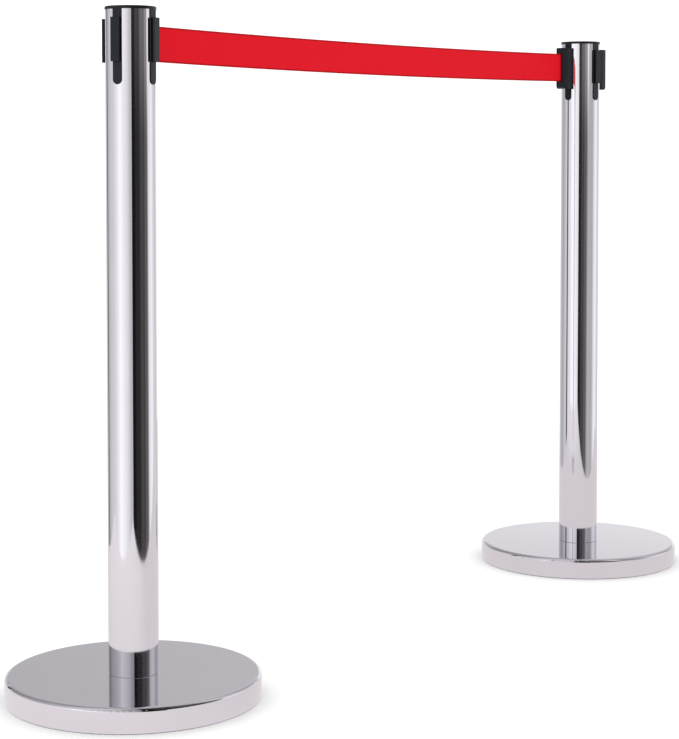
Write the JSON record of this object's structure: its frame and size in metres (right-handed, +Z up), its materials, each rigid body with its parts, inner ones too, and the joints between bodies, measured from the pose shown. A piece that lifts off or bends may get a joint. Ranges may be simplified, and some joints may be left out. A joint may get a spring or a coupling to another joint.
{
  "type": "retractable belt stanchion pair",
  "caption": "Free-standing polished barrier posts joined by a red webbing belt that reels out of one post's head and hooks on the other",
  "frame": {"origin": "on the floor, midway between the two posts", "axes": "+X from the left post to the right post, +Z up"},
  "size_m": [1.368, 0.32, 0.862],
  "materials": {
    "base_steel": "polished stainless",
    "tube_steel": "polished stainless",
    "cast_iron": "as cast",
    "rubber": "matte",
    "zinc_steel": "zinc plated",
    "spring_steel": "blued",
    "bronze": "sintered",
    "black_plastic": "satin moulded",
    "clip_plastic": "satin moulded",
    "cap_plastic": "satin moulded",
    "grey_plastic": "moulded",
    "belt": "woven polyester webbing"
  },
  "bodies": {
    "left_post": {"base_cover_left": "base_steel", "base_weight_left": "cast_iron", "floor_ring_left": "rubber", "fixing_bolt_left": "zinc_steel", "bolt_washer_left": "zinc_steel", "lock_washer_left": "zinc_steel", "tube_plug_left": "zinc_steel", "post_tube_left": "tube_steel", "cassette_body_left": "black_plastic", "cassette_lid_left": "black_plastic", "lid_screws_left": "zinc_steel", "top_cap_left": "cap_plastic", "spool_shaft_left": "zinc_steel", "power_spring_left": "spring_steel", "guide_pins_left": "zinc_steel", "belt_run_left": "belt"},
    "reel_left": {"spool_left": "grey_plastic", "spool_bushes_left": "bronze", "spring_cover_left": "grey_plastic", "anchor_pin_left": "zinc_steel", "belt_roll_left": "belt"},
    "right_post": {"base_cover_right": "base_steel", "base_weight_right": "cast_iron", "floor_ring_right": "rubber", "fixing_bolt_right": "zinc_steel", "bolt_washer_right": "zinc_steel", "lock_washer_right": "zinc_steel", "tube_plug_right": "zinc_steel", "post_tube_right": "tube_steel", "cassette_body_right": "black_plastic", "cassette_lid_right": "black_plastic", "lid_screws_right": "zinc_steel", "top_cap_right": "cap_plastic", "spool_shaft_right": "zinc_steel", "power_spring_right": "spring_steel", "guide_pins_right": "zinc_steel", "belt_stub_right": "belt"},
    "reel_right": {"spool_right": "grey_plastic", "spool_bushes_right": "bronze", "spring_cover_right": "grey_plastic", "anchor_pin_right": "zinc_steel", "belt_roll_right": "belt"},
    "clip_left": {"belt_clip_left": "clip_plastic", "clip_pin_left": "zinc_steel", "belt_tail_left": "belt"},
    "clip_right": {"belt_clip_right": "clip_plastic", "clip_pin_right": "zinc_steel"}
  },
  "joints": [
    {"name": "post_spacing", "type": "slide", "parent": "left_post", "child": "right_post", "axis": [1, 0, 0], "range_m": [-0.68, 0.9], "deforming": ["belt_run_left"]},
    {"name": "reel_left_turn", "type": "hinge", "parent": "left_post", "child": "reel_left", "pos_m": [-0.524, 0, 0.8], "axis": [0, 0, 1], "range_deg": [-2514, 3320], "deforming": ["power_spring_left"]},
    {"name": "clip_left_lift", "type": "slide", "parent": "right_post", "child": "clip_left", "axis": [0, 0, 1], "range_m": [0, 0.07], "deforming": ["belt_tail_left"]},
    {"name": "clip_right_pull", "type": "slide", "parent": "right_post", "child": "clip_right", "axis": [0.9925, -0.1219, 0], "range_m": [0, 1.9], "stiffness_N_per_m": 2, "springref_m": -3, "deforming": ["belt_stub_right"]},
    {"name": "reel_right_turn", "type": "hinge", "parent": "right_post", "child": "reel_right", "pos_m": [0.524, 0, 0.8], "axis": [0, 0, 1], "range_deg": [-20, 6987], "deforming": ["power_spring_right"]}
  ],
  "couplings": [
    {"joint": "reel_left_turn", "follows": "post_spacing", "rad_per_m": 64},
    {"joint": "reel_right_turn", "follows": "clip_right_pull", "rad_per_m": 64}
  ]
}
